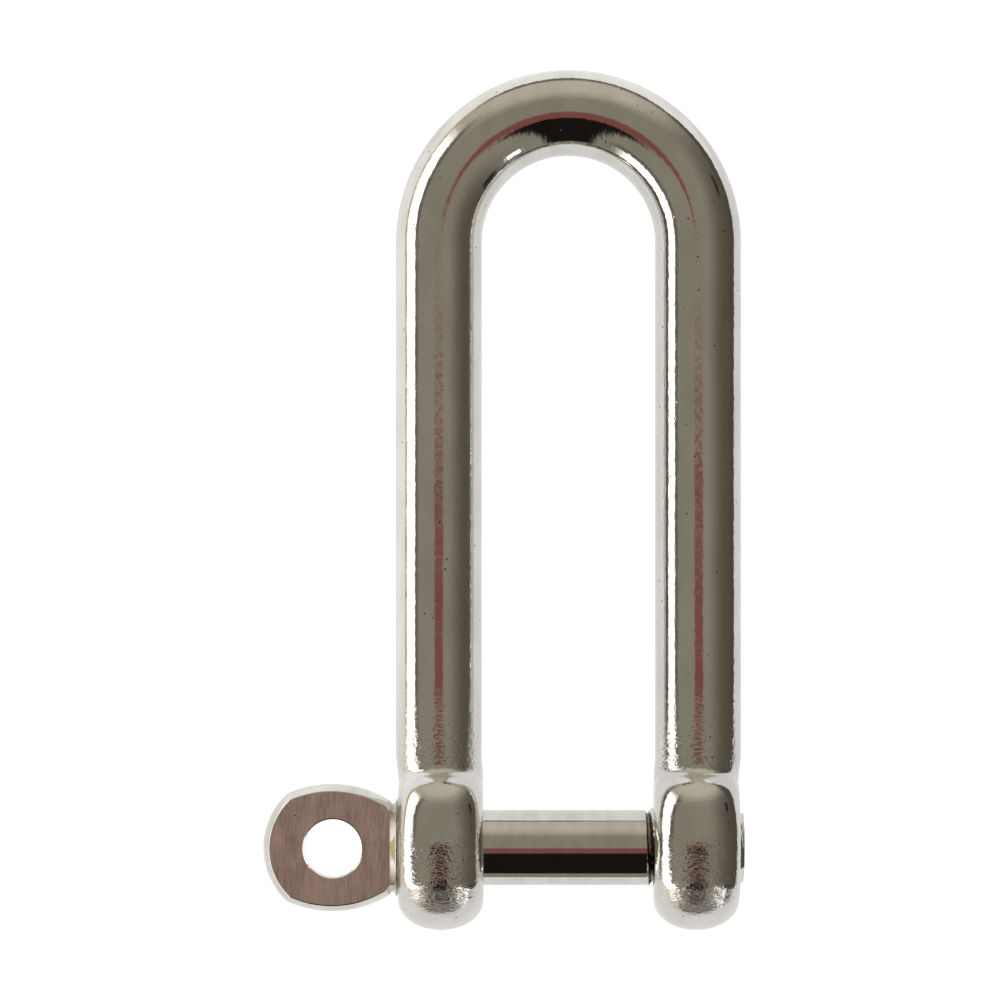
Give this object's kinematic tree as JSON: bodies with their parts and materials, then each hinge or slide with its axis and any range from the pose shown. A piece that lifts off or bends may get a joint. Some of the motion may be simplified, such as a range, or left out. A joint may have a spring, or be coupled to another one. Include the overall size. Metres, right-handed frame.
{
  "type": "dee shackle",
  "caption": "Long dee shackle in polished stainless steel: a round-bar bow with forged eyes, closed by an eye-headed screw pin that draws out along its axis.",
  "frame": {"origin": "on the pin's axis, half-way between the two eyes, with the pin home", "axes": "+X along the pin towards its threaded tip, +Y along the legs towards the crown, +Z out of the shackle's plane; the shackle lies on its side, as on a bench"},
  "size_m": [0.0445, 0.0796, 0.0152],
  "materials": {
    "bow_steel": "mirror-polished stainless steel, unplated, slightly wavy from forging",
    "pin_steel": "mirror-polished stainless steel, unplated, with a finely ground flat eye"
  },
  "bodies": {
    "bow": {"bow": "bow_steel"},
    "pin": {"screw_pin": "pin_steel"}
  },
  "joints": [
    {"name": "pin_withdraw", "type": "slide", "parent": "bow", "child": "pin", "axis": [-1, 0, 0], "range_m": [0, 0.04]}
  ]
}
